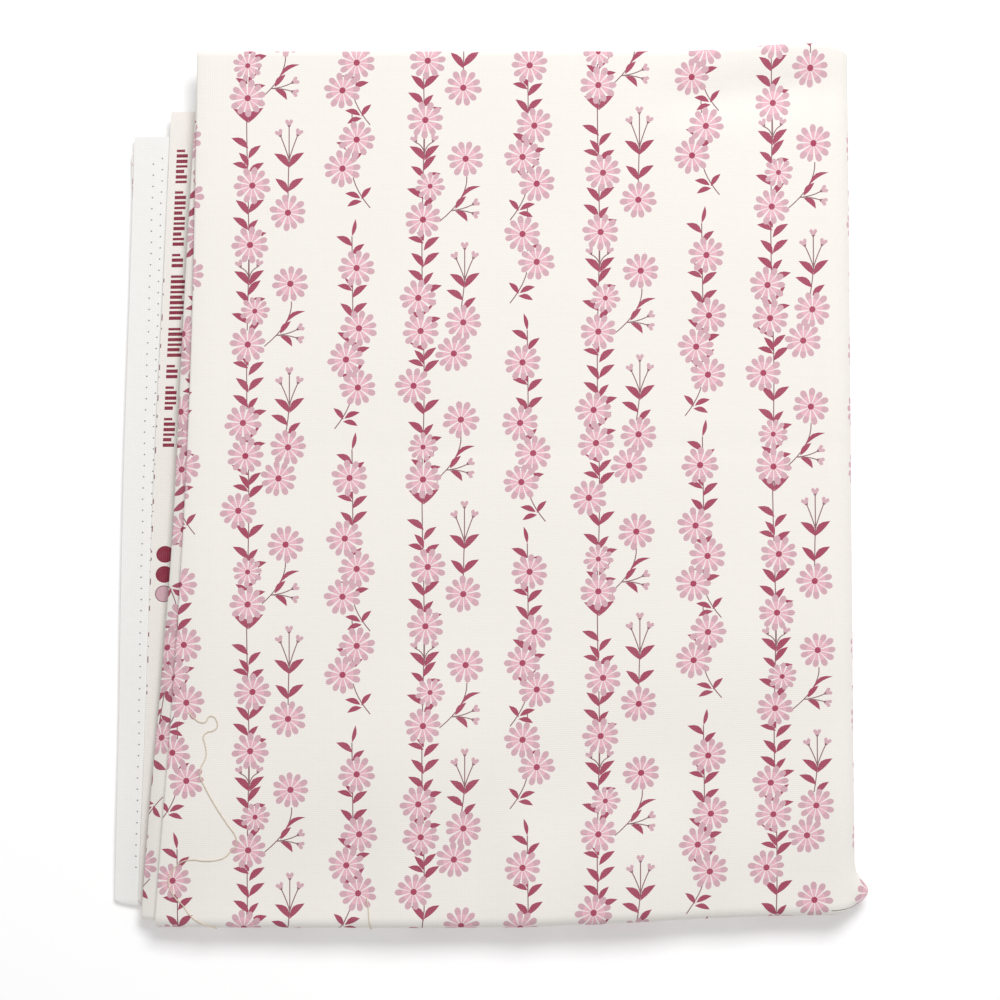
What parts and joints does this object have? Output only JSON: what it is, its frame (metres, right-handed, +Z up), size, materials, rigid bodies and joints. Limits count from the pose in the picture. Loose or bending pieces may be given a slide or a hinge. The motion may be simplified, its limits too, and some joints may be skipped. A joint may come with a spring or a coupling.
{
  "type": "folded fabric length",
  "caption": "Folded length of printed quilting cotton whose upper half opens like a book about the spine fold.",
  "frame": {"origin": "middle of the flat face that the folded pack rests on", "axes": "+X towards the spine fold, +Y towards the cut ends and the north crease, +Z up"},
  "size_m": [0.3124, 0.3722, 0.0221],
  "materials": {
    "printed_cotton": "plain-weave cotton, floral print, matt",
    "selvedge_cotton": "plain-weave cotton, unprinted margin, matt",
    "thread_cotton": "loose cotton yarn, matt"
  },
  "bodies": {
    "lower_half": {"lower_ply_1": "selvedge_cotton", "lower_ply_2": "selvedge_cotton", "lower_ply_3": "printed_cotton", "lower_ply_4": "printed_cotton", "lower_ply_5": "printed_cotton", "lower_ply_6": "printed_cotton", "lower_ply_7": "printed_cotton", "lower_ply_8": "printed_cotton", "lower_south_fold_outer": "printed_cotton", "lower_south_fold_inner": "printed_cotton", "lower_north_fold": "printed_cotton", "spine_fold_1": "printed_cotton", "spine_fold_2": "printed_cotton", "spine_fold_3": "printed_cotton", "spine_fold_4": "printed_cotton"},
    "upper_half": {"upper_leaf_1": "printed_cotton", "upper_leaf_2": "printed_cotton", "upper_leaf_3": "printed_cotton", "upper_leaf_4": "printed_cotton", "upper_south_fold_outer": "printed_cotton", "upper_south_fold_inner": "printed_cotton", "upper_north_fold": "printed_cotton", "loose_thread_long": "thread_cotton", "loose_thread_short": "thread_cotton"}
  },
  "joints": [
    {"name": "book_fold", "type": "hinge", "parent": "lower_half", "child": "upper_half", "pos_m": [0.1363, 0, 0.0109], "axis": [0, 1, 0], "range_deg": [0, 180], "deforming": ["spine_fold_1", "spine_fold_2", "spine_fold_3", "spine_fold_4"]}
  ]
}
